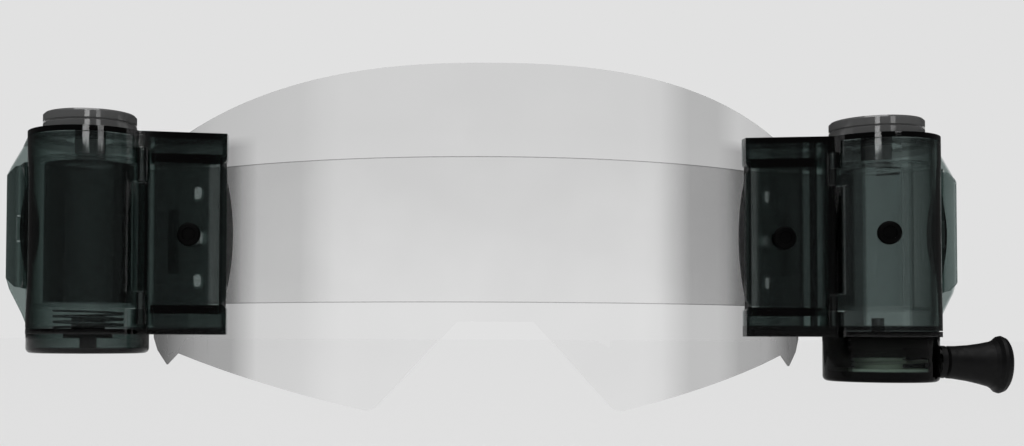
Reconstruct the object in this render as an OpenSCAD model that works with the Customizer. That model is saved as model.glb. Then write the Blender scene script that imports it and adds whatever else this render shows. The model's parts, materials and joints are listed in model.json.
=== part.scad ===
// Roll-off film kit for motocross goggles: a curved lens, a film canister at each end of it, a strip of
// clear film that is wound from the left canister to the right one, and a pull cord that winds it.
// X runs to the right as the viewer sees the kit, Y away from the viewer, Z up.
// The origin lies on the lens front face, on its middle line and on the film's centre line.

/* [Lens] */
// Radius that the lens front face is bent to
lens_r = 115; // [108:1:125]
// Lens thickness
lens_t = 0.9; // [0.7:0.1:1.5]
// Half of the lens width, measured straight across
lens_half_w = 91; // [89:0.5:91.5]
// Height of the top edge over the film's centre line, at the middle
lens_top = 41.3; // [36:0.1:46]
// How far the top edge has fallen at the place where it goes behind the canisters
lens_top_fall = 9.3; // [4:0.1:14]
// Distance from the middle at which that fall is measured
lens_fall_x = 71.5; // [60:0.5:80]
// Half of the flat top of the nose cut-out
nose_half_w = 9.4; // [6:0.1:14]
// Height of the top of the nose cut-out
nose_z = -22.7; // [-26:0.1:-20]
// Distance of each cheek corner from the middle
cheek_x = 30.4; // [24:0.1:38]
// Height of each cheek corner before it is rounded
cheek_z = -45.2; // [-50:0.1:-38]
// Rounding of the cheek corners
cheek_round = 4; // [1:0.5:8]
// Distance of the notch beside each lower tab from the lens's end
notch_in = 8.3; // [7:0.1:13]
// Height of that notch
notch_z = -31.2; // [-34:0.1:-29]
// Distance of each tab's point from the lens's end
tab_in = 4.7; // [3:0.1:6]
// Height of each tab's point
tab_z = -34.5; // [-40:0.1:-32]

/* [Film] */
// Film width
film_w = 36; // [32:0.5:38]
// Film thickness
film_t = 0.2; // [0.1:0.05:0.3]
// Gap between the film and the lens
film_gap = 0.3; // [0.2:0.05:0.5]
// Radius of the fresh film on the supply reel
supply_r = 11.5; // [8:0.1:12.5]
// Radius of the used film on the take-up reel
takeup_r = 9; // [7.5:0.1:12.5]

/* [Canisters] */
// How far each reel's axis lies outside the lens's end
reel_out = 13.2; // [12.5:0.1:14.5]
// How far the reel axes lie before the lens at the plate's inner edge
reel_lift = 0.26; // [-1:0.02:1]
// Outer radius of the drum
drum_r = 15.75; // [15:0.05:17]
// Top of the canister
can_top = 26.2; // [25:0.1:30]
// Underside of the canister
can_bottom = -26.1; // [-30:0.1:-25]
// Wall of the mouldings
wall = 1.4; // [1.2:0.1:1.8]
// How much of the lens each wedge plate covers, straight across
plate_cover = 23; // [22.5:0.1:25]
// How far the wedge plate's front lies before the lens at its inner edge
plate_lift = 3.66; // [3.4:0.02:4.4]
// Rise of the wedge plate's front towards the viewer, per millimetre outwards
plate_rise = 0.17; // [0.1:0.01:0.2]
// Skin of the wedge plate that lies on the lens
skin_t = 1.3; // [1:0.1:1.6]
// Height of the channel walls beside the film
channel_wall = 2.4; // [1.5:0.1:3]
// Gap between the lens and what lies on it
seat_gap = 0.1; // [0.05:0.05:0.2]

/* [Doors] */
// How far the door hinges' axes lie outside the drum's surface
hinge_out = 1.16; // [1.1:0.02:1.5]
// Angle at which the door hinges lie, seen from the reel axis
hinge_angle = 208.23; // [207:0.01:209]
// Radius of the hinge knuckles
hinge_r = 2; // [1.8:0.1:2.1]
// Radius of the hinge pins
hinge_pin_r = 0.9; // [0.6:0.05:1]
// Height of each base knuckle
knuckle_h = 4.2; // [3:0.1:6]
// Top of the upper base knuckle
knuckle_top = 21.6; // [20:0.1:23]
// Underside of the lower base knuckle
knuckle_bottom = -23.8; // [-24:0.1:-21]
// Angle at which the door's shell starts, seen from the reel axis
door_start = 216; // [214:1:222]
// Angle at which the door's shell ends
door_end = 351.5; // [348:0.5:352]
// How far the wing reaches past the drum
wing_w = 6.05; // [5:0.05:9]
// Top of the door's finger tab
tab_top = 15.4; // [14:0.1:18]
// Underside of the door's finger tab
tab_bottom = -11.6; // [-16:0.1:-10]
// Thickness of the finger tab
tab_t = 1.5; // [1.2:0.1:2.2]
// Width of the thumb rest beside the tab
thumb_w = 4.6; // [3.4:0.1:5.4]
// Height of the thumb rest
thumb_h = 24.4; // [18:0.1:26]

/* [Reels] */
// Outer radius of the reel cores
core_r = 6.2; // [5.8:0.1:6.6]
// Radius of the reel flanges
flange_r = 13.4; // [12.8:0.1:13.8]
// Thickness of the reel flanges
flange_t = 0.9; // [0.6:0.1:1.4]
// Radius of the top knobs
knob_r = 12; // [8:0.1:14]
// Height of the top knobs
knob_h = 4.7; // [3:0.1:7]
// Radius of the stem between a knob and its reel core
stem_r = 3.95; // [3:0.05:4.4]
// Radial clearance of every shaft in its bore
shaft_gap = 0.06; // [0.03:0.01:0.09]
// Gap between turning faces and fixed ones
run_gap = 0.3; // [0.2:0.05:0.4]

/* [Frame mounts] */
// How far past the plate's inner edge the goggle frame's posts meet the lens
post_in = 7.45; // [7:0.05:8]
// Radius of the bore for a frame post
post_r = 2; // [1.5:0.1:2.4]
// How far the two locating slots lie outwards of the post
slot_out = 1.3; // [0.8:0.1:1.8]
// Half of the distance between the two locating slots
slot_z = 11.7; // [9:0.1:13]
// Width of a locating slot
slot_w = 2.4; // [1.6:0.1:2.6]
// Length of a locating slot
slot_l = 3.3; // [2.8:0.1:4.5]

/* [Studs and wipers] */
// Radius of the round black studs
stud_r = 3; // [2:0.1:3.6]
// Distance of the plate studs from the plate's inner edge
stud_in = 9.4; // [8:0.1:11]
// Height of the studs
stud_z = -0.3; // [-4:0.1:4]
// Angle of the stud on the right door, seen from the reel axis
door_stud_angle = 257.5; // [240:0.5:290]
// How far each wiper lip looks out past its plate
wiper_out = 1.5; // [0.8:0.1:2.5]
// Height of the wiper lips
wiper_h = 27; // [16:0.5:32]

/* [Supply brake] */
// Depth of the cap under the left canister
cap_h = 4.9; // [4:0.1:7]
// Radius of the split pivot
pivot_r = 4.3; // [3.6:0.1:4.6]
// Wire of the drag spring
drag_wire = 0.7; // [0.5:0.05:0.8]
// Radius of the drag spring's coil
drag_r = 9; // [7:0.1:11]

/* [Cord drive] */
// Depth of the cord housing under the right canister
housing_h = 11.7; // [11:0.1:14]
// Radius of the cord housing
housing_r = 14.55; // [14.5:0.05:15]
// How far the cord housing lies outwards of the reel's axis
housing_shift = 0.55; // [0.3:0.05:0.6]
// Cord diameter
cord_d = 0.9; // [0.8:0.05:1]
// Radius of the cord reel's drum
spool_r = 5.95; // [5.6:0.05:6.2]
// Radius of the cord reel's flanges
spool_flange_r = 12.2; // [11:0.1:12.3]
// Loops of cord on the reel
cord_loops = 3; // [2:1:3]
// Ratchet teeth
ratchet_teeth = 12; // [8:1:18]
// Radius over the ratchet teeth
ratchet_r = 8.4; // [7:0.1:9]
// Turns of the recoil spring
recoil_turns = 4; // [3:1:4]
// Radius of the spindle
spindle_r = 1.6; // [1.2:0.1:1.8]
// Height of the cord's way out
cord_z = -32.6; // [-33.2:0.1:-32]
// Angle at which the cord leaves, down from level
cord_droop = 2.5; // [0:0.5:5]
// Angle at which the cord leaves, turned towards the viewer
cord_yaw = 8; // [0:1:12]
// Length of the pull knob
pull_l = 16.2; // [15:0.1:24]
// Radius of the pull knob at its neck
pull_neck_r = 4.3; // [3.4:0.1:5]
// Radius of the pull knob's lip
pull_lip_r = 7.6; // [6.6:0.1:9]

/* [Hidden] */
$fn = 64;

smoke = [0.17, 0.2, 0.2, 0.9];
clear = [0.85, 0.87, 0.88, 0.5];
black = [0.06, 0.06, 0.06];

lens_axis = [0, lens_r];
reach = lens_half_w;
notch_x = lens_half_w - notch_in;
tab_x = lens_half_w - tab_in;
reel_x = lens_half_w + reel_out;
plate_x = lens_half_w - plate_cover;
reel_y = lens_y(plate_x) - reel_lift;
plate_y = lens_y(plate_x) - plate_lift;
post_angle = asin((plate_x + post_in) / lens_r);
stud_x = plate_x + stud_in;
slot_x = plate_x + post_in + slot_out;
wing_x = reel_x + drum_r + wing_w;
film_r = lens_r + film_gap + film_t / 2;
guide_r = 0.9;
guide_gap = 0.1;
guide_wrap = guide_r + guide_gap + film_t / 2;
guide_angle = asin((plate_x + 0.6) / film_r);
guide_pos = lens_axis + (film_r + guide_wrap) * [sin(guide_angle), -cos(guide_angle)];
reel_pos = [reel_x, reel_y];
hinge_pos = reel_pos + polar(drum_r + hinge_out, hinge_angle);
hinge_x = hinge_pos[0];
hinge_y = hinge_pos[1];
inside_r = drum_r - wall;
inside_top = can_top - wall;
inside_bottom = can_bottom + wall;
channel_half = film_w / 2 + 0.4;
channel_outer = channel_half + channel_wall;
knuckle_gap = 0.2;
upper_knuckle = knuckle_top - knuckle_h;
upper_arm = upper_knuckle - knuckle_gap - knuckle_h;
lower_arm = knuckle_bottom + knuckle_h + knuckle_gap;
door_gap_angle = 2;
arm_angle = 12;
film_mouth = 5.5;
hinge_edge = [2.6, 3.6];
film_post = [0.9, 3.3];
film_post_pos = [reel_x - 13.65, reel_y + 8.9];
plate_rib_x = [plate_x + 14.2, plate_x + 17.6];
plate_rib_z = [-9.7, 7.8];
plate_rib_t = 1.4;
hinge_relief = hinge_r + run_gap;
wing_t = 1.5;
wing_y = reel_y + 1;
tab_edge = wing_x - 0.4;
thumb_x = reel_x + drum_r - 1.15;
thumb_z = 0.9;
core_top = inside_top - run_gap;
core_bottom = inside_bottom + 2 * run_gap;
flange_z = film_w / 2 + 0.4;
film_fit = 0.05;
socket_h = 6;
heel = [lens_half_w + 1.3, lens_y(lens_half_w) - 0.29];
drum_back_angle = 109;
cap_r = drum_r - 0.1;
housing_floor = can_bottom - housing_h;
spool_bottom = housing_floor + wall + 1.1;
spool_flange_t = 0.9;
ratchet_t = 1.3;
ratchet_top = can_bottom - run_gap;
spool_top = ratchet_top - ratchet_t - run_gap;
cord_pitch = cord_d + 0.45;
cord_wrap_r = spool_r + 0.05 + cord_d / 2;
winding_z = spool_bottom + spool_flange_t + cord_d / 2 + run_gap;
guide_face = reel_x + housing_shift + housing_r + 0.9;
guide_len = 1.7;
guide_bore = cord_d / 2 + 0.3;
guide_shank_r = 2.4;
guide_shank_l = 2.6;
pull_start = guide_len + 0.15;
knob_bore_l = 9.4;
knot_r = 1.1;
journal_r = 5;

function polar(r, a) = r * [cos(a), sin(a)];
function lens_y(x) = lens_r - sqrt(lens_r * lens_r - x * x);
function lens_point(r, a) = lens_axis + r * [sin(a), -cos(a)];
function plate_front(x) = plate_y - (x - plate_x) * plate_rise;
function unit(v) = v / norm(v);
function mirrored(points) = [for (i = [len(points) - 1:-1:0]) [-points[i][0], points[i][1]]];

// Points of an arc that rounds the corner at v between the lines to a and b
function rounded(a, v, b, r, steps = 8) =
  let (da = unit(a - v), db = unit(b - v), half = acos(da * db) / 2,
       centre = v + unit(da + db) * r / sin(half),
       start = v + da * r / tan(half) - centre,
       stop = v + db * r / tan(half) - centre)
  [for (i = [0:steps]) centre + r * unit(start * (steps - i) + stop * i)];

// A flat strip of thickness t along a path of points
module strip(path, t) {
  last = len(path) - 1;
  side = [for (i = [0:last])
    let (d = unit(path[min(i + 1, last)] - path[max(i - 1, 0)])) t / 2 * [-d[1], d[0]]];
  polygon(concat(path + side, [for (i = [last:-1:0]) path[i] - side[i]]));
}

// A tube of diameter d along points in space, with flat ends square to the path
module tube(points, d, sides) {
  last = len(points) - 1;
  rings = [for (i = [0:last])
    let (along = unit(points[min(i + 1, last)] - points[max(i - 1, 0)]),
         across = unit(cross(along, [0, 0, 1])),
         up = cross(across, along))
    for (k = [0:sides - 1]) points[i] + d / 2 * (across * cos(360 * k / sides) + up * sin(360 * k / sides))];
  polyhedron(points = rings, faces = concat(
    [[for (k = [0:sides - 1]) k]],
    [[for (k = [sides - 1:-1:0]) last * sides + k]],
    [for (i = [0:last - 1], k = [0:sides - 1])
      let (a = i * sides + k, b = i * sides + (k + 1) % sides)
      each [[a, a + sides, b], [b, a + sides, b + sides]]]));
}

// The part of the plane between two angles, seen from the reel axis
module sector(from, to) {
  reach = 3 * drum_r;
  steps = 6;
  translate(reel_pos)
    polygon(concat([[0, 0]], [for (i = [0:steps]) polar(reach, from + (to - from) * i / steps)]));
}

module ring(outer, inner) {
  difference() {
    circle(r = outer);
    circle(r = inner);
  }
}

module slab(from, to) {
  translate([0, 0, from]) linear_extrude(to - from) children();
}

// Draws its children for the right side or, mirrored, for the left
module on_side(side) {
  mirror([side < 0 ? 1 : 0, 0, 0]) children();
}

// A tool along the lens normal at the frame post, from radius r1 to r2 about the lens axis
module along_post(r1, r2, z = 0) {
  translate([0, lens_r, z]) rotate([90, 0, post_angle]) translate([0, 0, r1]) linear_extrude(r2 - r1) children();
}

// The two locating slots, cut straight back so that they can be moulded
module locating_slots(grow = 0) {
  w = slot_w + 2 * grow;
  straight = slot_l - slot_w;
  wing_plate(lens_y(slot_x) - 3 * skin_t, heel[1]) for (z = [-slot_z, slot_z]) translate([slot_x, z]) {
    square([w, straight], center = true);
    for (end = [-1, 1]) translate([0, end * straight / 2]) circle(d = w);
  }
}

// Lens

function lens_top_z(x) = lens_top - lens_top_fall * pow(abs(x) / lens_fall_x, 2.7);

lens_end_z = -26.8;
tab_heel = [lens_half_w - 1.5, -30.6];
cheek = [cheek_x, cheek_z];
notch = [notch_x, notch_z];
cheek_bulge = 0.8;
cheek_edge_steps = 8;

// The lower edge bows a little between the cheek corner and the notch
function cheek_edge(t) = cheek + (notch - cheek) * t - [0, 4 * cheek_bulge * t * (1 - t)];

half_outline = concat(
  [[nose_half_w, nose_z]],
  rounded([nose_half_w, nose_z], cheek, cheek_edge(1 / cheek_edge_steps), cheek_round),
  [for (i = [2:cheek_edge_steps]) cheek_edge(i / cheek_edge_steps)],
  rounded(notch, [tab_x, tab_z], tab_heel, 0.4, 3),
  [tab_heel, [lens_half_w, lens_end_z]],
  [for (i = [0:20]) let (x = lens_half_w * (20 - i) / 20) [x, lens_top_z(x)]]
);

module lens() {
  color(clear) difference() {
    intersection() {
      slab(-reach, reach) translate(lens_axis) ring(lens_r, lens_r - lens_t, $fn = 128);
      rotate([90, 0, 0]) translate([0, 0, -lens_r * 0.6]) linear_extrude(lens_r * 0.7)
        polygon(concat(half_outline, mirrored(half_outline)));
    }
    for (side = [-1, 1]) on_side(side) {
      along_post(lens_r - 3, lens_r + 1, stud_z) circle(r = post_r);
      locating_slots(0.5);
    }
  }
}

// Film: over the lens, under a guide pin at each plate's edge and on to the back of each roll

function to_roll(r) =
  let (span = reel_pos - guide_pos,
       a = atan2(span[1], span[0]) + asin((r - guide_wrap) / norm(span)))
  a;

function film_half(r) =
  let (a = to_roll(r), back = [-sin(a), cos(a)])
  concat(
    [for (i = [1:12]) lens_point(film_r, guide_angle * i / 12)],
    [for (i = [1:3]) let (b = guide_angle + (a - guide_angle) * i / 3) guide_pos + guide_wrap * [-sin(b), cos(b)]],
    [reel_pos + r * back]);

module film() {
  color(clear)
    slab(-film_w / 2, film_w / 2)
      strip(concat(mirrored(film_half(supply_r + run_gap)), [lens_point(film_r, 0)],
        film_half(takeup_r + run_gap)), film_t);
}

// Canister base: wedge plate over the lens end, back half of the drum, end walls and wing

// Where the wedge plate's front runs into the drum
plate_end = reel_x - sqrt(pow(drum_r, 2) - pow(reel_y - plate_front(hinge_x + 1), 2));

module wedge_outline() {
  difference() {
    polygon([
      [plate_x, plate_front(plate_x)],
      [plate_end, plate_front(plate_end)],
      reel_pos,
      reel_pos + polar(drum_r, drum_back_angle),
      heel,
      [plate_x, heel[1]]
    ]);
    translate(lens_axis) circle(r = lens_r + seat_gap, $fn = 128);
  }
}

module wedge_inside() {
  start = plate_x + wall;
  stop = hinge_x - hinge_r + wall;
  heel_wall = unit(heel - reel_pos - polar(drum_r, drum_back_angle));
  inward = wall * [-heel_wall[1], heel_wall[0]];
  difference() {
    polygon([
      [start, plate_front(start) + wall],
      [stop, plate_front(stop) + wall],
      reel_pos,
      reel_pos + polar(drum_r, drum_back_angle) + inward,
      heel + inward,
      [start, heel[1]]
    ]);
    translate(lens_axis) circle(r = lens_r + seat_gap + skin_t, $fn = 128);
  }
}

wing_outline = [
  [reel_x + inside_r + 0.4, can_top - 0.3],
  [reel_x + drum_r + 0.8, can_top - 0.6],
  [wing_x - 3.9, 22.6],
  [wing_x - 0.9, 17.4],
  [wing_x, 15.4],
  [wing_x, -11.3],
  [wing_x - 0.9, -14.3],
  [wing_x - 4.2, -20.7],
  [reel_x + drum_r + 0.4, -24.2],
  [reel_x + inside_r + 0.4, -24.6]
];

latch_x = wing_x - 4.1;
latch_w = 1.2;
latch_h = 6.2;
latch_z = 1.5;

module wing_plate(y1, y2) {
  translate([0, y2, 0]) rotate([90, 0, 0]) linear_extrude(y2 - y1) children();
}

module base_knuckles(r) {
  for (z = [knuckle_bottom, upper_knuckle])
    translate([hinge_x, hinge_y, z]) cylinder(r = r, h = knuckle_h);
}

module channel_rib(from, to) {
  slab(from, to) intersection() {
    wedge_outline();
    translate([plate_x, 0]) square([hinge_x - hinge_r - plate_x, heel[1]]);
  }
}

module drum_shell_cut(from, to) {
  intersection() {
    translate(reel_pos) ring(drum_r + 3, inside_r - 0.1);
    sector(from, to);
  }
}

module canister_base() {
  difference() {
    union() {
      difference() {
        slab(can_bottom, can_top) union() {
          translate(reel_pos) circle(r = drum_r);
          wedge_outline();
        }
        slab(inside_bottom, inside_top) union() {
          translate(reel_pos) circle(r = inside_r);
          wedge_inside();
        }
        // mouth that the door closes
        slab(inside_bottom, inside_top) drum_shell_cut(door_start - door_gap_angle, door_end + 1.5);
      }
      channel_rib(channel_half, channel_outer);
      channel_rib(-channel_outer, -channel_half);
      // raised rib on the skin
      slab(plate_rib_z[0], plate_rib_z[1]) intersection() {
        wedge_outline();
        translate(lens_axis) difference() {
          circle(r = lens_r + seat_gap + skin_t + plate_rib_t, $fn = 128);
          circle(r = lens_r + seat_gap, $fn = 128);
        }
        translate([plate_rib_x[0], 0]) square([plate_rib_x[1] - plate_rib_x[0], heel[1]]);
      }
      // thick edge behind the hinge
      slab(inside_bottom - 0.1, inside_top + 0.1)
        translate([hinge_x - hinge_edge[0] / 2, plate_front(hinge_x) + 0.2]) square(hinge_edge);
      // post behind the film, where it passes into the drum
      slab(inside_bottom - 0.1, inside_top + 0.1) translate(film_post_pos) square(film_post);
      // seat round the frame post's bore
      along_post(lens_r + seat_gap + 0.4, lens_r + seat_gap + skin_t + 0.7, stud_z) circle(r = post_r + 1.3);
      wing_plate(wing_y, wing_y + wing_t) polygon(wing_outline);
      base_knuckles(hinge_r);
      for (z = [knuckle_bottom, upper_knuckle]) slab(z, z + knuckle_h)
        translate([hinge_x - 3.3, hinge_y + 0.2]) square([3.3, plate_front(hinge_x) + wall - hinge_y - 0.2]);
    }
    // room for the door's arms
    for (z = [lower_arm, upper_arm]) slab(z - knuckle_gap, z + knuckle_h + knuckle_gap) {
      drum_shell_cut(door_start - arm_angle, door_start);
      translate(hinge_pos) circle(r = hinge_relief);
    }
    // film slot in the inner edge, with a nick at each film edge
    translate([plate_x - 1, plate_front(plate_x) + wall, -channel_half])
      cube([film_mouth + 1, 6, 2 * channel_half]);
    for (z = [-film_w / 2, film_w / 2])
      translate([plate_x, plate_y - 1, z]) rotate([-90, 0, 0]) cylinder(r = 1.3, h = 8, $fn = 4);
    slab(-channel_outer + 0.4, channel_outer - 0.4) translate(guide_pos) circle(r = guide_r + 0.02, $fn = 32);
    // holes for the frame's post and its two locating lugs
    along_post(lens_r - 1, lens_r + 4, stud_z) circle(r = post_r);
    locating_slots();
    // stud hole in the front wall
    translate([stud_x, plate_front(stud_x) - 2, stud_z]) rotate([-90, 0, 0]) cylinder(r = 1.55, h = wall + 3, $fn = 32);
    // hinge bores
    for (z = [knuckle_bottom, upper_knuckle])
      slab(z - 1, z + knuckle_h + 1) translate(hinge_pos) circle(r = hinge_pin_r + 0.02, $fn = 32);
    // latch window in the wing
    wing_plate(wing_y - 1, wing_y + wing_t + 1)
      translate([latch_x - 0.4, latch_z - latch_h / 2 - 0.4]) square([latch_w + 0.8, latch_h + 0.8]);
    // bore of the knob stem
    slab(inside_top - 1, can_top + 1) translate(reel_pos) circle(r = stem_r + shaft_gap);
  }
}

module left_base() {
  color(smoke) on_side(-1) difference() {
    canister_base();
    slab(can_bottom - 1, inside_bottom + 1) translate(reel_pos) circle(r = pivot_r + 0.02);
  }
}

module right_base() {
  color(smoke) difference() {
    canister_base();
    slab(can_bottom - 1, inside_bottom + 1) translate(reel_pos) circle(r = journal_r + shaft_gap);
  }
}

// Drum door with its finger tab and latch

tab_outline = [
  [reel_x + drum_r - 1.15, tab_bottom - 3],
  [tab_edge - 2.4, tab_bottom - 2.2],
  [tab_edge, tab_bottom],
  [tab_edge, tab_top],
  [tab_edge - 2.4, tab_top + 2.2],
  [reel_x + drum_r - 1.15, tab_top + 3]
];

// Lens-shaped outline of the thumb rest
module thumb_outline() {
  r = (pow(thumb_h / 2, 2) + pow(thumb_w / 2, 2)) / thumb_w;
  translate([thumb_x, thumb_z]) intersection_for(side = [-1, 1])
    translate([side * (r - thumb_w / 2), 0]) circle(r = r, $fn = 192);
}

// A point at an angle round the drum, a number of walls outside its surface
function off_axis(walls, a) = reel_pos + polar(drum_r + walls * wall, a);

module canister_door() {
  shell_start = reel_pos + polar(drum_r, door_start);
  back = wing_y - run_gap;
  flank = reel_x + drum_r;
  rest_r = supply_r + 2 * run_gap;
  tab_root = [[flank + run_gap, back], [flank + run_gap, reel_y - 1.8 * wall], off_axis(-0.47, -10.3)];
  difference() {
    union() {
      slab(inside_bottom + knuckle_gap, inside_top - knuckle_gap) intersection() {
        translate(reel_pos) ring(drum_r, inside_r);
        sector(door_start, door_end);
      }
      for (z = [lower_arm, upper_arm]) slab(z, z + knuckle_h) {
        translate(hinge_pos) circle(r = hinge_r);
        polygon([
          hinge_pos + [0, -hinge_r], shell_start + [1.2, -1.4], shell_start + [1.8, -0.2],
          shell_start + [0.9, 0.6], hinge_pos + [1, 0.4]
        ]);
      }
      intersection() {
        slab(-reach, reach) polygon(concat(
          [off_axis(-0.65, -14), off_axis(0.44, -16.3), [flank + 1.3 * tab_t, back - 1.4 * tab_t]],
          [[tab_edge - 0.8, back - tab_t], [tab_edge, back - tab_t + 0.5], [tab_edge, back]],
          tab_root
        ));
        wing_plate(0, heel[1]) polygon(tab_outline);
      }
      // thick thumb rest in the door's flank
      intersection() {
        slab(-reach, reach) polygon(concat(
          [for (a = [-36, -30, -24]) off_axis(-0.6, a)],
          [off_axis(-0.08, -18.3), off_axis(0.67, -14.6), off_axis(1.47, -13), [flank + 1.6, back]],
          tab_root,
          [for (a = [-10.3, -23, -36]) reel_pos + polar(rest_r, a)]
        ));
        wing_plate(0, heel[1]) thumb_outline();
      }
      translate([latch_x, back - 0.2, latch_z - latch_h / 2]) cube([latch_w, wing_t + run_gap + 1, latch_h]);
    }
    for (z = [lower_arm, upper_arm])
      slab(z - 1, z + knuckle_h + 1) translate(hinge_pos) circle(r = hinge_pin_r + shaft_gap, $fn = 32);
  }
}

module left_door() {
  color(smoke) on_side(-1) canister_door();
}

module on_door_front(r) {
  translate([reel_x, reel_y, stud_z + 0.6]) rotate([0, 90, door_stud_angle]) translate([0, 0, r]) children();
}

module right_door() {
  color(smoke) difference() {
    canister_door();
    on_door_front(inside_r - 1) cylinder(r = 1.55, h = wall + 2, $fn = 32);
  }
}

// Pin through one base knuckle and the door's knuckle next to it
module hinge_pin(side, bottom) {
  color("silver") on_side(side)
    translate([hinge_x, hinge_y, bottom + 0.3])
      cylinder(r = hinge_pin_r, h = 2 * knuckle_h + knuckle_gap - 0.6, $fn = 32);
}

module guide_pin(side) {
  color("silver") on_side(side)
    slab(-channel_outer + 0.5, channel_outer - 0.5) translate(guide_pos) circle(r = guide_r, $fn = 32);
}

// Thin lip that lies just off the film and bows out past the plate's edge
module wiper(side) {
  bow_r = (pow(wiper_h / 2, 2) + pow(wiper_out, 2)) / (2 * wiper_out);
  low = film_r + film_t / 2 + 0.1;
  color(black) on_side(side) intersection() {
    slab(-wiper_h, wiper_h) translate(lens_axis) ring(low + 0.5, low, $fn = 360);
    wing_plate(0, heel[1]) intersection() {
      translate([plate_x - wiper_out + bow_r, stud_z]) circle(r = bow_r, $fn = 360);
      translate([plate_x - wiper_out - 1, -wiper_h]) square([wiper_out + 1.3, 2 * wiper_h]);
    }
  }
}

// Round stud with a low domed head, a shank through the wall and a clip behind it
module stud(wall_t) {
  rotate_extrude(convexity = 4) polygon([
    [0, -wall_t - 1.3], [2, -wall_t - 1.3], [2.2, -wall_t - 0.1], [1.5, -wall_t - 0.05], [1.5, 0.05],
    [stud_r, 0.05], [stud_r, 0.45], [stud_r - 0.45, 0.9], [stud_r - 1.2, 1.05], [stud_r - 1.4, 0.7], [0, 0.7]
  ]);
}

module plate_stud(side) {
  color(black) on_side(side)
    translate([stud_x, plate_front(stud_x + stud_r) + 0.05, stud_z]) rotate([90, 0, 0])
      stud(wall + stud_r * plate_rise * 2);
}

module door_stud() {
  color(black) on_door_front(drum_r) stud(wall + 0.3);
}

// Reels

module top_knob(side) {
  bottom = can_top + run_gap;
  top = bottom + knob_h;
  groove = bottom + knob_h * 0.45;
  color([0.45, 0.48, 0.48, 0.8]) on_side(side) translate([reel_x, reel_y, 0]) rotate_extrude() polygon([
    [0, core_top - socket_h + 0.3], [stem_r, core_top - socket_h + 0.3], [stem_r, bottom],
    [knob_r - 0.3, bottom], [knob_r, bottom + 0.3],
    [knob_r, groove - 0.3], [knob_r - 0.35, groove], [knob_r, groove + 0.3],
    [knob_r, top - 0.5], [knob_r - 0.5, top], [knob_r - 2, top],
    [knob_r - 2.6, top - 1.6], [stem_r + 0.8, top - 1.6], [stem_r, top - 0.4], [0, top - 0.4]
  ]);
}

module core_body(bottom) {
  slab(bottom, core_top) circle(r = core_r);
  for (z = [-flange_z - flange_t, flange_z]) slab(z, z + flange_t) circle(r = flange_r);
}

module core_sockets() {
  slab(core_top - socket_h, core_top + 1) circle(r = stem_r + 0.02);
  // slit that holds the film's end
  translate([0, -0.4, -film_w / 2]) cube([core_r + 1, 0.8, film_w]);
}

module supply_core() {
  color("dimgray") on_side(-1) translate([reel_x, reel_y, 0]) difference() {
    core_body(core_bottom);
    core_sockets();
    slab(core_bottom - 1, core_bottom + 5) circle(r = pivot_r + shaft_gap);
  }
}

module takeup_core() {
  color("dimgray") translate([reel_x, reel_y, 0]) difference() {
    union() {
      core_body(core_bottom);
      slab(ratchet_top - ratchet_t, core_bottom + 1) circle(r = journal_r);
    }
    core_sockets();
    slab(ratchet_top - ratchet_t - 1, core_bottom + 4) circle(r = spindle_r + shaft_gap, $fn = 32);
  }
}

module film_roll(side, r) {
  color(clear) on_side(side) slab(-film_w / 2, film_w / 2) translate(reel_pos) ring(r, core_r + film_fit);
}

// Supply brake under the left canister

module round_cup(depth, r) {
  lip = 1.3;
  rotate_extrude() polygon(concat(
    [[0, -depth], [r - lip, -depth]],
    [for (i = [1:4]) [r - lip, -depth + lip] + lip * [sin(22.5 * i), -cos(22.5 * i)]],
    [[r, 0], [r - wall, 0], [r - wall, -depth + wall], [0, -depth + wall]]
  ));
}

module left_cap() {
  color([0.2, 0.2, 0.2, 0.9]) on_side(-1) translate([reel_x, reel_y, can_bottom]) round_cup(cap_h, cap_r);
}

module split_pivot() {
  base_t = 1;
  slit = 1.2;
  color(black) on_side(-1) translate([reel_x, reel_y, 0]) difference() {
    union() {
      slab(can_bottom - base_t, can_bottom) circle(r = pivot_r + 2);
      slab(can_bottom - base_t, core_bottom + 3) circle(r = pivot_r);
      slab(can_bottom - cap_h + wall, can_bottom - base_t) circle(r = 2.2);
    }
    slab(inside_bottom - 0.4, core_bottom + 4) circle(r = pivot_r - 1.5);
    translate([-slit / 2, -pivot_r - 1, inside_bottom + 0.1]) cube([slit, 2 * pivot_r + 2, 6]);
  }
}

// Points of a helix, with a short straight lead at both ends
function helix(r, pitch, turns, z, per_turn, start = 0) =
  [for (i = [0:turns * per_turn]) let (a = start + 360 * i / per_turn)
    [r * cos(a), r * sin(a), z + pitch * i / per_turn]];

// Least distance between points of a coil that lie more than half a turn apart, less the tube
function coil_gap(points, per_turn, d) =
  min([for (i = [0:len(points) - 1]) for (j = [i + per_turn / 2:1:len(points) - 1]) norm(points[i] - points[j])]) - d;

drag_turns = 3;
drag_rings = 12;
drag_bottom = inside_bottom + drag_wire / 2 + 0.02;
drag_top = -flange_z - flange_t - run_gap - drag_wire / 2;
drag_points = helix(drag_r, (drag_top - drag_bottom) / drag_turns, drag_turns, drag_bottom, drag_rings);
echo(drag_spring_gap = coil_gap(drag_points, drag_rings, drag_wire));

module drag_spring() {
  color("silver") on_side(-1) translate([reel_x, reel_y, 0]) tube(drag_points, drag_wire, 6);
}

// Cord drive under the right canister

// The cord's line outside the housing, measured from the face that the cord comes out of
cord_axis = [cos(cord_droop) * cos(cord_yaw), -cos(cord_droop) * sin(cord_yaw), -sin(cord_droop)];

function cord_at(d) = [guide_face, reel_y, cord_z] + d * cord_axis;

module along_cord(d) {
  translate(cord_at(d)) rotate([0, 90 + cord_droop, -cord_yaw]) children();
}

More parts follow.
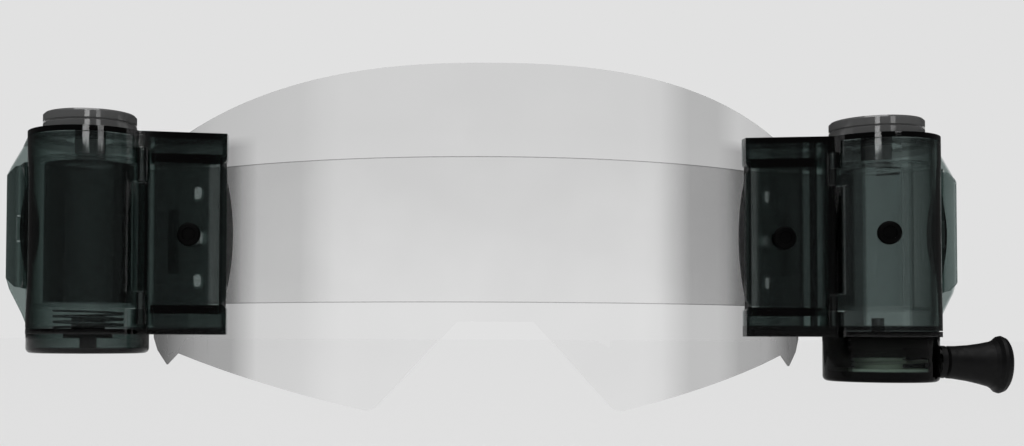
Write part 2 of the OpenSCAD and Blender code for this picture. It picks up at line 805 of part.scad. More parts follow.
module cord_housing() {
  boss_r = pull_neck_r + 0.2;
  color(smoke) difference() {
    union() {
      translate([reel_x + housing_shift, reel_y, can_bottom]) round_cup(housing_h, housing_r);
      intersection() {
        along_cord(-4) cylinder(r = boss_r, h = 4);
        difference() {
          slab(housing_floor, can_bottom) translate(reel_pos) square(50, center = true);
          slab(housing_floor - 1, can_bottom + 1)
            translate([reel_x + housing_shift, reel_y]) circle(r = housing_r - wall / 2);
        }
      }
    }
    along_cord(-6) cylinder(r = guide_shank_r + 0.1, h = 8);
  }
}

module cord_guide() {
  color(black) along_cord(0) rotate_extrude() polygon([
    [guide_bore, -guide_shank_l], [guide_shank_r, -guide_shank_l], [guide_shank_r, 0.02],
    [pull_neck_r, 0.02], [pull_neck_r, guide_len - 0.3],
    [pull_neck_r - 0.3, guide_len], [guide_bore + 0.5, guide_len], [guide_bore, guide_len - 0.5]
  ]);
}

module cord_spindle() {
  color("silver") translate([reel_x, reel_y, 0]) {
    slab(housing_floor + wall, core_bottom + 3) circle(r = spindle_r, $fn = 32);
    slab(housing_floor + wall, housing_floor + wall + 0.7) circle(r = spindle_r + 1.2, $fn = 32);
  }
}

module cord_reel() {
  hollow_r = spool_r - 0.65;
  color([0.62, 0.68, 0.6]) translate([reel_x, reel_y, 0]) difference() {
    union() {
      slab(spool_bottom, spool_bottom + spool_flange_t) circle(r = spool_flange_r);
      slab(spool_bottom, spool_top) circle(r = spool_r);
      slab(spool_top - spool_flange_t, spool_top) circle(r = spool_flange_r);
    }
    slab(spool_bottom + spool_flange_t, spool_top + 1) circle(r = hollow_r);
    slab(spool_bottom - 1, spool_top) circle(r = spindle_r + shaft_gap, $fn = 32);
  }
}

// The cord leaves the winding on a tangent to where it enters its guide
winding_rings = 24;
cord_entry = cord_at(-guide_shank_l - 0.6);
entry_off = [cord_entry[0] - reel_x, cord_entry[1] - reel_y];
winding_start = atan2(entry_off[1], entry_off[0]) + acos(cord_wrap_r / norm(entry_off));
winding_points = helix(cord_wrap_r, cord_pitch, cord_loops, winding_z, winding_rings, winding_start);
echo(cord_winding_gap = coil_gap(winding_points, winding_rings, cord_d));

module cord_winding() {
  color([0.75, 0.78, 0.74]) translate([reel_x, reel_y, 0]) tube(winding_points, cord_d, 6);
}

module recoil_spring() {
  strip_t = 0.25;
  first = spindle_r + strip_t / 2 + 0.02;
  last = spool_r - 0.65 - run_gap - strip_t / 2;
  steps = 20 * recoil_turns;
  color("silver") translate([reel_x, reel_y, 0])
    slab(spool_bottom + spool_flange_t + 0.4, spool_top - 0.4)
      strip([for (i = [0:steps]) polar(first + (last - first) * i / steps, -18 * i)], strip_t);
}

module ratchet_wheel() {
  step = 360 / ratchet_teeth;
  root_r = ratchet_r - 1.3;
  color("gainsboro") translate([reel_x, reel_y, 0]) slab(ratchet_top - ratchet_t, ratchet_top) difference() {
    polygon([for (i = [0:ratchet_teeth - 1]) each [
      polar(ratchet_r, step * i), polar(root_r, step * (i + 0.12)), polar((root_r + ratchet_r) / 2, step * (i + 0.6))
    ]]);
    circle(r = journal_r + 0.02);
  }
}

// Ring on the cord reel with two moulded spring arms, whose noses stand just off the ratchet teeth
module pawl_ring() {
  outer = spool_flange_r - 0.2;
  inner = outer - 1.2;
  arm_t = 0.8;
  arm_start = inner + arm_t / 2 + 0.2;
  arm_end = ratchet_r + run_gap + arm_t / 2;
  color("gainsboro") translate([reel_x, reel_y, 0]) {
    slab(spool_top, ratchet_top - 0.1) ring(outer, inner);
    for (side = [20, 200]) slab(spool_top, ratchet_top - 0.2)
      strip([for (i = [0:8]) polar(arm_start - (arm_start - arm_end) * pow(i / 8, 1.6), side + 6 * i)], arm_t);
  }
}

lead_off = concat(reel_pos + polar(cord_wrap_r, winding_start), [winding_z]);
lead_start = lead_off + (run_gap + 0.05) * unit(cord_entry - lead_off);
lead_points = concat([lead_start], rounded(lead_start, cord_entry, cord_at(0), 2.2, 5), [cord_at(pull_start + knob_bore_l)]);

module cord_lead() {
  color([0.75, 0.78, 0.74]) tube(lead_points, cord_d, 6);
}

// Rubber knob that flares to a lip, with a pocket for the cord's knot
module pull_knob() {
  pocket_r = 1.7;
  bore_r = cord_d / 2 + 0.15;
  lip_at = pull_l - 2.6;
  lip_rim = pull_lip_r - 0.2;
  flare = [[-11.5, 0.02], [-8.2, 0.14], [-5.1, 0.32], [-2.5, 0.52], [-1.5, 0.7], [-0.7, 0.94], [0, 1]];
  color(black) along_cord(pull_start) rotate_extrude() polygon(concat(
    [
      [0, knob_bore_l + 2.6], [pocket_r, knob_bore_l + 2.6], [pocket_r, knob_bore_l], [bore_r, knob_bore_l], [bore_r, 0],
      [pull_neck_r - 0.4, 0], [pull_neck_r, 0.4]
    ],
    [for (p = flare) [pull_neck_r + (pull_lip_r - pull_neck_r) * p[1], lip_at + p[0]]],
    [[lip_rim, lip_at + 0.5]],
    [for (i = [1:6]) [lip_rim * cos(15 * i), lip_at + 0.5 + (pull_l - lip_at - 0.5) * sin(15 * i)]]
  ));
}

module cord_knot() {
  color([0.75, 0.78, 0.74]) along_cord(pull_start + knob_bore_l + knot_r + 0.1) sphere(r = knot_r, $fn = 24);
}

lens();
film();
left_base();
left_door();
hinge_pin(-1, upper_arm);  // left_hinge_pin
hinge_pin(-1, knuckle_bottom);  // left_lower_pin
guide_pin(-1);  // left_guide_pin
wiper(-1);  // left_wiper
plate_stud(-1);  // left_stud
top_knob(-1);  // left_knob
supply_core();
film_roll(-1, supply_r);  // supply_roll
left_cap();
split_pivot();
drag_spring();
right_base();
right_door();
hinge_pin(1, upper_arm);  // right_hinge_pin
hinge_pin(1, knuckle_bottom);  // right_lower_pin
guide_pin(1);  // right_guide_pin
wiper(1);  // right_wiper
plate_stud(1);  // right_stud
top_knob(1);  // right_knob
takeup_core();
film_roll(1, takeup_r);  // takeup_roll
door_stud();
cord_housing();
cord_spindle();
cord_reel();
cord_winding();
recoil_spring();
ratchet_wheel();
pawl_ring();
cord_guide();
cord_lead();
pull_knob();
cord_knot();
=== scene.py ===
import json
import math

import bmesh
import bpy
from mathutils import Matrix, Vector


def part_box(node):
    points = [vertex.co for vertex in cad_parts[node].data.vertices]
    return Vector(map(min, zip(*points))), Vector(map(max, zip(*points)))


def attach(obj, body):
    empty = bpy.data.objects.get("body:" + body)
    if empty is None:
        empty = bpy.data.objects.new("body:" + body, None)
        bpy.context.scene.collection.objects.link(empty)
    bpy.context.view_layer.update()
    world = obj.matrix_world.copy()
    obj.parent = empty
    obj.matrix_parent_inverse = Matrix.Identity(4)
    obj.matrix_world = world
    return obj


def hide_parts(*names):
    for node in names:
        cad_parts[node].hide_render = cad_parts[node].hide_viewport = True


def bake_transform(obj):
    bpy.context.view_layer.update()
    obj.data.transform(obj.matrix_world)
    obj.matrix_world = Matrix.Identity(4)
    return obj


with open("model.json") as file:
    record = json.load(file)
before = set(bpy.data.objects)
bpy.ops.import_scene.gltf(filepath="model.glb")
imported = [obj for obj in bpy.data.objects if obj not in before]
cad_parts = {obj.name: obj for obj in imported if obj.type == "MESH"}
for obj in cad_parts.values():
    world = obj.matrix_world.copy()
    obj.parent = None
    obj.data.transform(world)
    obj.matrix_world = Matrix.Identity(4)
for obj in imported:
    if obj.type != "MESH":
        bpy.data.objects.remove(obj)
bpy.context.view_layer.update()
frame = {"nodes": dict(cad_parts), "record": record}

nodes = frame["nodes"]
scene = bpy.context.scene
scene.view_settings.view_transform = "Standard"

MM = 0.001
FULL_TURN = 2 * math.pi

CAMERA_PLACE = (-0.0329, -0.300, -0.0265)
CAMERA_YAW, CAMERA_PITCH, CAMERA_ROLL = math.radians(1.56), math.radians(1.86), 0.0035
CAMERA_LENS, CAMERA_SHIFT = 43.1, (0.1143, 0.0723)

BACKGROUND = (0.753, 0.753, 0.753, 1)
FLOOR_GREY = (0.82, 0.82, 0.82, 1)
FLOOR_Z = -0.07
WORLD_LIGHT, WORLD_GLOSS = 0.35, 0.05
STRIP_AIM = (0, 0.02, 0.027)


def new_object(name, data):
    made = bpy.data.objects.new(name, data)
    scene.collection.objects.link(made)
    return made


# Camera, fitted to the photograph's outlines

def photo_camera():
    yaw, pitch, roll = CAMERA_YAW, CAMERA_PITCH, CAMERA_ROLL
    forward = Vector((math.sin(yaw) * math.cos(pitch), math.cos(yaw) * math.cos(pitch), math.sin(pitch)))
    right = Vector((math.cos(yaw), -math.sin(yaw), 0))
    up = right.cross(forward)
    turned_right = math.cos(roll) * right + math.sin(roll) * up
    turned_up = -math.sin(roll) * right + math.cos(roll) * up
    data = bpy.data.cameras.new("photo_camera")
    data.sensor_width = 36
    data.lens = CAMERA_LENS
    data.shift_x, data.shift_y = CAMERA_SHIFT
    data.clip_start = 0.01
    data.clip_end = 50
    cam = new_object("photo_camera", data)
    turn = Matrix((turned_right, turned_up, -forward)).transposed().to_4x4()
    cam.matrix_world = Matrix.Translation(CAMERA_PLACE) @ turn
    scene.camera = cam


photo_camera()


# Materials

SMOKE, SMOKE_BASE = (0.17, 0.27, 0.25, 1), (0.96, 0.97, 0.97, 1)

# Thumb rests of the doors, darkened inside by painted shade of the recess: the middle of the shape and half
# its size, in millimetres
THUMB_X, THUMB_Z, THUMB_HALF = 118.8, 0.9, (2.5, 12.4)

# Dark bands: axis, low and high end in millimetres, and the tint between them
BAND_SOFTNESS = 0.3
DRUM_LID = (2, 23.4, 26.4, 0.55)
DRUM_ENDS = [DRUM_LID, (2, -26.4, -24.4, 0.5)]
REEL_FLOOR = [DRUM_LID, (2, -26.4, -23.4, 0.2)]
# Painted shade: a near-black line in the valley where the right plate meets its drum
RIGHT_PLATE_VALLEY_SHADE = [(0, 89.8, 91.8, 0.02)]
LEFT_DOOR_OUTSIDE = [(0, -140, -123, 0.5)]
RIGHT_DOOR_SIDES = [(0, 106.5, 118, 0.55), (0, 88, 95.5, 0.3)]
HOUSING_DARK = [
    (1, 23, 60, 0.04), (2, -31.3, -25, 0.08), (2, -40, -35.2, 0.08),
    (0, 80, 93.4, 0.15), (0, 115.6, 125, 0.15),
]

# Greys across the clear sheets: x in millimetres and the grey there. The lens and film greys are painted
# shade, the canisters' shadow and dark reflection towards the sheets' ends.
LENS_PAINTED_SHADE = [
    (-88, 0.27), (-84, 0.46), (-77, 0.72), (-72, 0.78), (-59, 0.83), (-48.6, 0.86), (-43, 0.93),
    (-38, 0.97), (38, 0.97), (43, 0.93), (48.4, 0.78), (51.4, 0.7), (60, 0.7), (67, 0.86), (77, 0.8),
    (84, 0.46), (88, 0.27),
]
FILM_PAINTED_SHADE = [
    (-74, 0.6), (-70, 0.35), (-66.5, 0.5), (-64, 0.74), (-59, 0.84), (-48.6, 0.83), (-44, 0.91),
    (-40, 0.97), (41, 0.97), (45.5, 0.87), (48.4, 0.8), (51.4, 0.69), (59, 0.66), (62.5, 0.63),
    (66, 0.45), (70, 0.35),
]
EDGE_TINT = [(-88, 0.1), (0, 0.28), (88, 0.1)]


def new_material(name):
    mat = bpy.data.materials.new(name)
    mat.use_nodes = True
    tree = mat.node_tree
    return mat, tree, tree.nodes["Principled BSDF"]


def add(tree, kind, settings=None, inputs=None):
    """A node with its settings and the values of its inputs."""
    made = tree.nodes.new(kind)
    for key, value in (settings or {}).items():
        setattr(made, key, value)
    for key, value in (inputs or {}).items():
        made.inputs[key].default_value = value
    return made


def object_point(tree):
    return add(tree, "ShaderNodeTexCoord").outputs["Object"]


def noise(tree, point, scale, detail, stretch=None):
    if stretch:
        mapped = add(tree, "ShaderNodeMapping", inputs={"Scale": stretch})
        tree.links.new(point, mapped.inputs["Vector"])
        point = mapped.outputs["Vector"]
    made = add(tree, "ShaderNodeTexNoise", inputs={"Scale": scale, "Detail": detail, "Roughness": 0.5})
    tree.links.new(point, made.inputs["Vector"])
    return made.outputs["Fac"]


def spread(tree, value, low, high, start=0.3, stop=0.7):
    """The value's range from start to stop, spread over low to high."""
    made = add(tree, "ShaderNodeMapRange", inputs={
        "From Min": start, "From Max": stop, "To Min": low, "To Max": high})
    tree.links.new(value, made.inputs["Value"])
    return made.outputs["Result"]


def bump(tree, bsdf, height, strength, distance):
    made = add(tree, "ShaderNodeBump", inputs={"Strength": strength, "Distance": distance})
    tree.links.new(height, made.inputs["Height"])
    tree.links.new(made.outputs["Normal"], bsdf.inputs["Normal"])


def split_point(tree, point):
    made = add(tree, "ShaderNodeSeparateXYZ")
    tree.links.new(point, made.inputs["Vector"])
    return made.outputs


def math_node(tree, operation, first, second=None):
    made = add(tree, "ShaderNodeMath", {"operation": operation})
    for i, value in enumerate((first, second)):
        if isinstance(value, (int, float)):
            made.inputs[i].default_value = value
        elif value is not None:
            tree.links.new(value, made.inputs[i])
    return made.outputs[0]


def between(tree, factor, first, second):
    """A mix of two colours."""
    made = add(tree, "ShaderNodeMix", {"data_type": "RGBA"})
    made.inputs["A"].default_value = first
    made.inputs["B"].default_value = second
    tree.links.new(factor, made.inputs["Factor"])
    return made.outputs["Result"]


def scaled(colour, factor):
    return [factor * c for c in colour[:3]] + [1]


def times(tree, colour, other):
    made = add(tree, "ShaderNodeMix", {"data_type": "RGBA", "blend_type": "MULTIPLY"}, {"Factor": 1})
    tree.links.new(colour, made.inputs["A"])
    tree.links.new(other, made.inputs["B"])
    return made.outputs["Result"]


def absorb(tree, colour, density):
    """Tints the light by the thickness that it passes."""
    soak = add(tree, "ShaderNodeVolumeAbsorption", inputs={"Color": colour, "Density": density})
    tree.links.new(soak.outputs["Volume"], tree.nodes["Material Output"].inputs["Volume"])


def band(tree, across, low, high, value):
    """The value between two places in millimetres, and 1 outside them."""
    off = math_node(tree, "ABSOLUTE", math_node(tree, "SUBTRACT", across, (low + high) / 2 * MM))
    half = (high - low) / 2 * MM
    return spread(tree, off, value, 1, half, half + BAND_SOFTNESS * MM)


def thumb_recess_shade(tree, point, value):
    """Painted shade of the recess: the value inside the lens-shaped thumb rest of either door, and 1 outside
    it.
    """
    x, _, z = split_point(tree, point)
    off_x = math_node(tree, "SUBTRACT", math_node(tree, "ABSOLUTE", x), THUMB_X * MM)
    off_z = math_node(tree, "SUBTRACT", z, THUMB_Z * MM)
    across, along = [math_node(tree, "DIVIDE", math_node(tree, "ABSOLUTE", off), half * MM)
                     for off, half in zip((off_x, off_z), THUMB_HALF)]
    reach = math_node(tree, "ADD", across, math_node(tree, "POWER", along, 2))
    return spread(tree, reach, value, 1, 0.98, 1.06)


def smoke_plastic(name, colour, density, rough=(0.03, 0.09), coat=1.0, bands=(), thumb=1):
    """Smoke-tinted clear plastic: the tint builds up with the thickness that the light passes."""
    mat, tree, bsdf = new_material(name)
    point = object_point(tree)
    place = split_point(tree, point)
    base = add(tree, "ShaderNodeRGB")
    base.outputs[0].default_value = SMOKE_BASE
    shade = base.outputs[0]
    for axis, low, high, value in bands:
        shade = times(tree, shade, band(tree, place[axis], low, high, value))
    # Painted shade inside the thumb recess of the doors
    if thumb < 1:
        shade = times(tree, shade, thumb_recess_shade(tree, point, thumb))
    shade = times(tree, shade, spread(tree, noise(tree, point, 70, 4), 0.93, 1))
    tree.links.new(shade, bsdf.inputs["Base Color"])
    bsdf.inputs["Transmission Weight"].default_value = 1
    bsdf.inputs["IOR"].default_value = 1.04
    bsdf.inputs["Coat Weight"].default_value = coat
    bsdf.inputs["Coat IOR"].default_value = 1.5
    bsdf.inputs["Coat Roughness"].default_value = 0.05
    tree.links.new(spread(tree, noise(tree, point, 260, 5), *rough), bsdf.inputs["Roughness"])
    bump(tree, bsdf, noise(tree, point, 420, 2), 0.12, 0.00006)
    absorb(tree, colour, density)
    return mat


def frosted_plastic(name, colour):
    """Grey half-clear plastic of the knobs, cloudy inside and polished outside."""
    mat, tree, bsdf = new_material(name)
    point = object_point(tree)
    cloud = spread(tree, noise(tree, point, 120, 4), 0, 1)
    tree.links.new(between(tree, cloud, colour, scaled(colour, 1.2)), bsdf.inputs["Base Color"])
    bsdf.inputs["Transmission Weight"].default_value = 0.3
    bsdf.inputs["IOR"].default_value = 1.3
    bsdf.inputs["Coat Weight"].default_value = 1
    bsdf.inputs["Coat Roughness"].default_value = 0.06
    tree.links.new(spread(tree, noise(tree, point, 500, 4), 0.35, 0.5), bsdf.inputs["Roughness"])
    bump(tree, bsdf, noise(tree, point, 700, 3), 0.15, 0.00003)
    return mat


def solid_plastic(name, colour, shade, rough, specular=0.5):
    """Moulded plastic with a fine grain and faint flow marks."""
    mat, tree, bsdf = new_material(name)
    point = object_point(tree)
    flow = spread(tree, noise(tree, point, 90, 4), 0, 1)
    tree.links.new(between(tree, flow, colour, shade), bsdf.inputs["Base Color"])
    tree.links.new(spread(tree, noise(tree, point, 360, 4), *rough), bsdf.inputs["Roughness"])
    bsdf.inputs["Specular IOR Level"].default_value = specular
    bump(tree, bsdf, noise(tree, point, 900, 3), 0.3, 0.00002)
    return mat


def steel(name, colour, rough, stretch):
    """Ground steel with fine lines along its length."""
    mat, tree, bsdf = new_material(name)
    point = object_point(tree)
    bsdf.inputs["Metallic"].default_value = 1
    lines = noise(tree, point, 700, 3, stretch=stretch)
    ground = between(tree, spread(tree, lines, 0, 1), colour, scaled(colour, 0.7))
    tree.links.new(ground, bsdf.inputs["Base Color"])
    tree.links.new(spread(tree, lines, *rough), bsdf.inputs["Roughness"])
    bump(tree, bsdf, lines, 0.2, 0.00002)
    return mat


def grey_ramp(tree, across, stops):
    """A grey that changes across the part, from the left end at -100 mm to the right end at 100 mm."""
    ramp = add(tree, "ShaderNodeValToRGB")
    tree.links.new(spread(tree, across, 0, 1, -100 * MM, 100 * MM), ramp.inputs["Fac"])
    made = ramp.color_ramp.elements
    while len(made) < len(stops):
        made.new(0.5)
    for stop, (place, value) in zip(made, stops):
        stop.position = (place + 100) / 200
        stop.color = (value, value, value, 1)
    return ramp.outputs["Color"]


def clear_sheet(name, stops, rough, ior, edge=None, top=1.0, plate_shade=1.0):
    """Clear sheet darkened by painted shade towards its ends, where the canisters' shadow and dark reflection
    fall, and a little towards its top.

    edge is the height of its edges in millimetres and the shade of the line there. plate_shade is how
    dark the sheet gets beside the canisters' plates.
    """
    mat, tree, bsdf = new_material(name)
    point = object_point(tree)
    x, _, z = split_point(tree, point)
    # Painted shade: darker towards the ends, by the given greys
    colour = grey_ramp(tree, x, stops)
    if edge:
        height, line = edge
        start, stop = height * MM - 0.1 * MM, height * MM + 0.1 * MM
        colour = times(tree, colour, spread(tree, math_node(tree, "ABSOLUTE", z), 1, line, start, stop))
    # Painted shade: a little darker towards the top
    colour = times(tree, colour, spread(tree, z, 1, top, -20 * MM, 25 * MM))
    beside = spread(tree, math_node(tree, "ABSOLUTE", x), 0, 1 - plate_shade, 60 * MM, 67 * MM)
    below_top = spread(tree, z, 1, 0, 23 * MM, 26 * MM)
    darker = math_node(tree, "MULTIPLY", beside, below_top)
    colour = times(tree, colour, math_node(tree, "SUBTRACT", 1, darker))
    colour = times(tree, colour, spread(tree, noise(tree, point, 40, 3), 0.97, 1))
    tree.links.new(colour, bsdf.inputs["Base Color"])
    bsdf.inputs["Transmission Weight"].default_value = 1
    bsdf.inputs["IOR"].default_value = ior
    tree.links.new(spread(tree, noise(tree, point, 300, 5), *rough), bsdf.inputs["Roughness"])
    bump(tree, bsdf, noise(tree, point, 60, 2), 0.05, 0.00003)
    return mat


def wound_film(name, density):
    """A roll of clear film: grey in the depth, with a fine line where each turn ends."""
    mat, tree, bsdf = new_material(name)
    point = object_point(tree)
    bsdf.inputs["Base Color"].default_value = (0.9, 0.92, 0.92, 1)
    bsdf.inputs["Transmission Weight"].default_value = 1
    bsdf.inputs["IOR"].default_value = 1.06
    lines = noise(tree, point, 700, 3, stretch=(1, 1, 0.02))
    tree.links.new(spread(tree, lines, 0.12, 0.24), bsdf.inputs["Roughness"])
    bump(tree, bsdf, lines, 0.12, 0.00002)
    absorb(tree, (0.2, 0.22, 0.22, 1), density)
    return mat


def rubber(name):
    """Black rubber with a matt, pitted skin."""
    mat, tree, bsdf = new_material(name)
    point = object_point(tree)
    worn = spread(tree, noise(tree, point, 220, 5), 0, 1)
    colour = between(tree, worn, (0.0025, 0.0025, 0.0025, 1), (0.006, 0.006, 0.0065, 1))
    tree.links.new(colour, bsdf.inputs["Base Color"])
    tree.links.new(spread(tree, noise(tree, point, 700, 4), 0.42, 0.6), bsdf.inputs["Roughness"])
    bsdf.inputs["Specular IOR Level"].default_value = 0.14
    bump(tree, bsdf, noise(tree, point, 1800, 4), 0.35, 0.00003)
    return mat


def braided_cord(name):
    """Braid read from the cord's own UV: u runs round the cord and v along it, in turns."""
    mat, tree, bsdf = new_material(name)
    uv = add(tree, "ShaderNodeUVMap", {"uv_map": "along_cord"})
    strands = []
    for angle in (45, -45):
        turned = add(tree, "ShaderNodeMapping", inputs={
            "Rotation": (0, 0, math.radians(angle)), "Scale": (6, 6, 1)})
        tree.links.new(uv.outputs["UV"], turned.inputs["Vector"])
        wave = add(tree, "ShaderNodeTexWave", {"wave_profile": "SIN"}, {"Scale": 0.5})
        tree.links.new(turned.outputs["Vector"], wave.inputs["Vector"])
        strands.append(wave.outputs["Fac"])
    weave = math_node(tree, "MAXIMUM", *strands)
    colour = between(tree, weave, (0.3, 0.34, 0.29, 1), (0.62, 0.67, 0.58, 1))
    tree.links.new(colour, bsdf.inputs["Base Color"])
    fuzz = noise(tree, object_point(tree), 900, 3)
    tree.links.new(spread(tree, fuzz, 0.6, 0.8), bsdf.inputs["Roughness"])
    bsdf.inputs["Sheen Weight"].default_value = 0.15
    bump(tree, bsdf, weave, 0.6, 0.00008)
    return mat


MATERIALS = {
    "smoke_shell": smoke_plastic("smoke_shell", SMOKE, density=1130, bands=DRUM_ENDS),
    "smoke_post": smoke_plastic("smoke_post", SMOKE, density=1040, bands=REEL_FLOOR + RIGHT_PLATE_VALLEY_SHADE),
    "left_smoke_door": smoke_plastic(
        "left_smoke_door", SMOKE, density=720, bands=DRUM_ENDS + LEFT_DOOR_OUTSIDE, thumb=0.1),
    "smoke_door": smoke_plastic(
        "smoke_door", SMOKE, density=420, bands=REEL_FLOOR + RIGHT_DOOR_SIDES, thumb=0.05),
    "smoke_housing": smoke_plastic("smoke_housing", SMOKE, density=540, bands=HOUSING_DARK, coat=0.15),
    "smoke_cap": smoke_plastic("smoke_cap", SMOKE, density=1200, coat=0.5),
    "smoke_wiper": smoke_plastic(
        "smoke_wiper", (0.1, 0.1, 0.1, 1), density=2600, rough=(0.3, 0.45), coat=0.2),
    "core_plastic": smoke_plastic(
        "core_plastic", (0.3, 0.36, 0.35, 1), density=30, rough=(0.1, 0.2), coat=0.3),
    "grey_knob": frosted_plastic("grey_knob", (0.12, 0.121, 0.121, 1)),
    "pale_plastic": solid_plastic(
        "pale_plastic", (0.7, 0.8, 0.66, 1), (0.58, 0.68, 0.56, 1), rough=(0.3, 0.45)),
    "black_plastic": solid_plastic(
        "black_plastic", (0.001, 0.001, 0.001, 1), (0.003, 0.003, 0.003, 1), rough=(0.45, 0.6), specular=0.03),
    "black_rubber": rubber("black_rubber"),
    "cord_nylon": braided_cord("cord_nylon"),
    "pin_steel": steel("pin_steel", (0.12, 0.12, 0.12, 1), rough=(0.3, 0.45), stretch=(1, 1, 0.05)),
    "spring_steel": steel("spring_steel", (0.25, 0.25, 0.26, 1), rough=(0.35, 0.55), stretch=(0.2, 0.2, 1)),
    "clear_lens": clear_sheet(
        "clear_lens", LENS_PAINTED_SHADE, rough=(0.0, 0.03), ior=1.05, top=0.87, plate_shade=0.62),
    "clear_film": clear_sheet("clear_film", FILM_PAINTED_SHADE, rough=(0.0, 0.02), ior=1.06, edge=(17.8, 0.5)),
    "lens_edge": clear_sheet("lens_edge", EDGE_TINT, rough=(0.15, 0.3), ior=1.12),
    "supply_film": wound_film("supply_film", density=270),
    "takeup_film": wound_film("takeup_film", density=60),
}

# Nodes whose look differs from that of the others with their slot
OWN_MATERIAL = {
    "supply_roll": "supply_film",
    "takeup_roll": "takeup_film",
    "cord_housing": "smoke_housing",
    "left_wiper": "smoke_wiper",
    "right_wiper": "smoke_wiper",
    "left_door": "left_smoke_door",
    "right_base": "smoke_post",
    "left_cap": "smoke_cap",
}

slots = {s["node"]: s["material_slot"] for s in frame["record"]["subparts"]}
for name, obj in nodes.items():
    for material_slot in obj.material_slots:
        material_slot.material = MATERIALS[OWN_MATERIAL.get(name, slots[name])]


# Lens: the same sheet with a fine chamfer round its edges

LENS_CHAMFER = 0.22 * MM
LENS_CORNER, LENS_CREASE = math.radians(50), math.radians(20)


def lens_with_chamfer():
    """A copy of the lens, shaded smooth, with a chamfer along its sharp edges."""
    mesh = nodes["lens"].data.copy()
    bm = bmesh.new()
    bm.from_mesh(mesh)
    bmesh.ops.remove_doubles(bm, verts=bm.verts, dist=0.001 * MM)
    corners = [e for e in bm.edges if len(e.link_faces) == 2 and e.calc_face_angle() > LENS_CORNER]
    made = bmesh.ops.bevel(bm, geom=corners, offset=LENS_CHAMFER, offset_type="OFFSET", segments=2,
                           profile=0.5, affect="EDGES", material=-1)
    for face in made["faces"]:
        face.material_index = 1
    for face in bm.faces:
        face.smooth = True
    for edge in bm.edges:
        edge.smooth = edge.calc_face_angle(0) < LENS_CREASE
    bm.to_mesh(mesh)
    bm.free()
    mesh.materials.clear()
    mesh.materials.append(MATERIALS["clear_lens"])
    mesh.materials.append(MATERIALS["lens_edge"])
    piece = new_object("lens_sheet", mesh)
    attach(piece, "frame")
    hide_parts("lens")


# Cord: the turns on the reel, the length that runs out to the knob, and the knot in the knob

CORD_R = 0.45 * MM
REEL = Vector((104.2, 21.998, 0)) * MM
TURN_R, TURNS, STEPS_PER_TURN = 6.45 * MM, 3, 48
GUIDE_FACE = Vector((120.2, 21.998, -32.6)) * MM
CORD_AXIS = Vector((0.98933, -0.13904, -0.04362))
# Places along the cord's axis, in millimetres from the face of the guide
GUIDE_BACK = -3.2
KNOB_START, KNOB_DEPTH = 1.85, 9.4
KNOT_R, KNOT_SIZE, KNOT_STEPS = 0.3 * MM, 0.24 * MM, 72


def cord_at(d):
    return GUIDE_FACE + d * MM * CORD_AXIS


def bridge_rings(bm, first, second):
    first, second = set(first), set(second)
    edges = {e for vert in first | second for e in vert.link_edges
             if set(e.verts) <= first or set(e.verts) <= second}
    bmesh.ops.bridge_loops(bm, edges=list(edges))


def cord_mesh(name, points, closed=False, sides=12, radius=CORD_R):
    """A tube along points, ring by ring, with a UV that runs round it and along it."""
    bm = bmesh.new()
    uv = bm.loops.layers.uv.new("along_cord")
    last = len(points) - 1
    rings, place = [], {}
    side, along_by = None, 0.0
    for i, point in enumerate(points):
        before = points[i - 1] if i or closed else point
        after = points[(i + 1) % len(points)] if i < last or closed else point
        along = (after - before).normalized()
        side = side or along.orthogonal()
        side = (side - side.dot(along) * along).normalized()
        turn = Matrix((side, along.cross(side), along)).transposed().to_4x4()
        capped = not closed and i in (0, last)
        ring = bmesh.ops.create_circle(bm, segments=sides, radius=radius, cap_ends=capped,
                                       matrix=Matrix.Translation(point) @ turn)["verts"]
        if i:
            along_by += (point - points[i - 1]).length / (FULL_TURN * radius)
        for k, vert in enumerate(ring):
            place[vert] = (k, along_by)
        rings.append(ring)
    for i in range(len(points) if closed else last):
        bridge_rings(bm, rings[i], rings[(i + 1) % len(points)])
    bmesh.ops.recalc_face_normals(bm, faces=bm.faces)
    for face in bm.faces:
        face.smooth = len(face.verts) == 4
        wraps = any(place[loop.vert][0] == sides - 1 for loop in face.loops)
        for loop in face.loops:
            k, v = place[loop.vert]
            loop[uv].uv = ((sides if wraps and k == 0 else k) / sides, v)
    mesh = bpy.data.meshes.new(name)
    bm.to_mesh(mesh)
    bm.free()
    mesh.materials.append(MATERIALS["cord_nylon"])
    piece = new_object(name, mesh)
    return piece


def turns_on_reel():
    """The turns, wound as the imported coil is, from its lowest point to its highest.

    Returns the point where the cord leaves them.
    """
    low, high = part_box("cord_winding")
    bottom, top = low[2] + CORD_R, high[2] - CORD_R
    entry = cord_at(GUIDE_BACK) - REEL
    start = math.atan2(entry.y, entry.x) + math.acos(TURN_R / math.hypot(entry.x, entry.y))
    count = TURNS * STEPS_PER_TURN
    points = []
    for i in range(count + 1):
        angle = start + TURNS * FULL_TURN * i / count
        height = bottom + (top - bottom) * i / count
        points.append(REEL + Vector((TURN_R * math.cos(angle), TURN_R * math.sin(angle), height)))
    piece = cord_mesh("cord_turns", points)
    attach(piece, "cord_reel")
    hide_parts("cord_winding")
    return points[0]


def smooth_route(points, steps):
    """A rounded path through the given points, by repeated corner cutting."""
    for _ in range(steps):
        cut = [points[0]]
        for a, b in zip(points, points[1:]):
            cut += [a.lerp(b, 0.25), a.lerp(b, 0.75)]
        points = cut + [points[-1]]
    return points


def cord_to_knob(leaves):
    """The stretch that starts just off the last turn and ends in the knob."""
    entry = cord_at(GUIDE_BACK)
    start = leaves + 0.35 * MM * (entry - leaves).normalized()
    route = smooth_route([start, start.lerp(entry, 0.5), entry, cord_at(-1)], 3)
    route += [cord_at(d) for d in (0, 0.4, 0.9, 1.4, KNOB_START, 3, 5, 7, 9, KNOB_START + KNOB_DEPTH)]
    piece = cord_mesh("cord_out", route)
    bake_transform(piece)
    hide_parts("cord_lead")


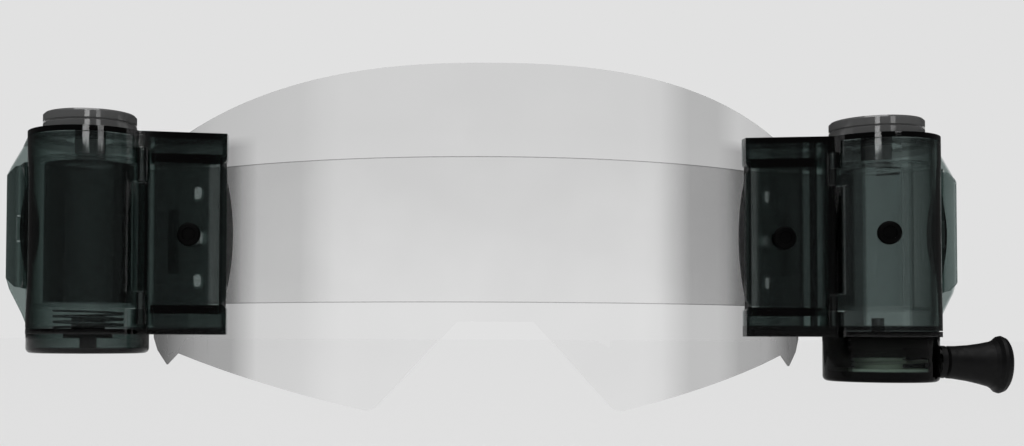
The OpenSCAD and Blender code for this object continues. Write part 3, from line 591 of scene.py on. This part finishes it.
def knot_in_knob():
    """A small tied knot: a three-lobed loop of the same cord."""
    centre = cord_at(KNOB_START + KNOB_DEPTH + 1.2)
    side = CORD_AXIS.orthogonal().normalized()
    up = CORD_AXIS.cross(side)
    points = []
    for i in range(KNOT_STEPS):
        t = FULL_TURN * i / KNOT_STEPS
        x = math.sin(t) + 2 * math.sin(2 * t)
        y = math.cos(t) - 2 * math.cos(2 * t)
        z = -math.sin(3 * t)
        points.append(centre + KNOT_SIZE * (x * side + y * up + 1.6 * z * CORD_AXIS))
    piece = cord_mesh("cord_end_knot", points, closed=True, sides=8, radius=KNOT_R)
    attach(piece, "pull")
    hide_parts("cord_knot")


lens_with_chamfer()
cord_to_knob(turns_on_reel())
knot_in_knob()


# Stage: floor, world and lights

def stage_floor():
    bm = bmesh.new()
    bmesh.ops.create_grid(bm, x_segments=8, y_segments=8, size=20)
    mesh = bpy.data.meshes.new("floor")
    bm.to_mesh(mesh)
    bm.free()
    floor = new_object("floor", mesh)
    floor.location = (0, 0, FLOOR_Z)
    mat, tree, bsdf = new_material("floor_paper")
    bsdf.inputs["Base Color"].default_value = FLOOR_GREY
    bsdf.inputs["Specular IOR Level"].default_value = 0.1
    point = object_point(tree)
    tree.links.new(spread(tree, noise(tree, point, 300, 4), 0.85, 0.95), bsdf.inputs["Roughness"])
    mesh.materials.append(mat)


def mixed_shader(tree, factor, first, second):
    made = add(tree, "ShaderNodeMixShader")
    for i, source in enumerate((factor, first, second)):
        tree.links.new(source, made.inputs[i])
    return made.outputs[0]


def stage_world():
    """Level light, a darker world in the glossy surfaces and the pale background for the camera."""
    world = bpy.data.worlds.new("studio")
    scene.world = world
    world.use_nodes = True
    tree = world.node_tree
    tree.nodes.clear()
    light, gloss, pale = [
        add(tree, "ShaderNodeBackground", inputs={"Color": colour, "Strength": strength}).outputs[0]
        for colour, strength in (((1, 1, 1, 1), WORLD_LIGHT), ((1, 1, 1, 1), WORLD_GLOSS), (BACKGROUND, 1))
    ]
    ray = add(tree, "ShaderNodeLightPath").outputs
    seen = math_node(tree, "MAXIMUM", ray["Is Camera Ray"], ray["Is Transmission Ray"])
    lit = mixed_shader(tree, ray["Is Glossy Ray"], light, gloss)
    out = add(tree, "ShaderNodeOutputWorld")
    tree.links.new(mixed_shader(tree, seen, lit, pale), out.inputs["Surface"])


def new_lamp(name, data, direction, place=(0, 0, 0)):
    lamp = new_object(name, data)
    lamp.location = place
    lamp.rotation_mode = "QUATERNION"
    lamp.rotation_quaternion = Vector(direction).to_track_quat("-Z", "Y")


def sun(name, energy, angle, direction):
    data = bpy.data.lights.new(name, "SUN")
    data.energy = energy
    data.angle = math.radians(angle)
    new_lamp(name, data, direction)


def softbox(name, place, size, power):
    data = bpy.data.lights.new(name, "AREA")
    data.shape = "RECTANGLE"
    data.size, data.size_y = size
    data.energy = power
    new_lamp(name, data, Vector(STRIP_AIM) - Vector(place), place)


stage_floor()
stage_world()
sun("overhead_light", energy=1.9, angle=60, direction=(0.1, 0.25, -1))
softbox("left_strip", place=(-0.066, -0.447, 0.104), size=(0.1, 0.026), power=0.045)
softbox("right_strip", place=(0.3125, -0.663, 0.156), size=(0.15, 0.034), power=0.05)
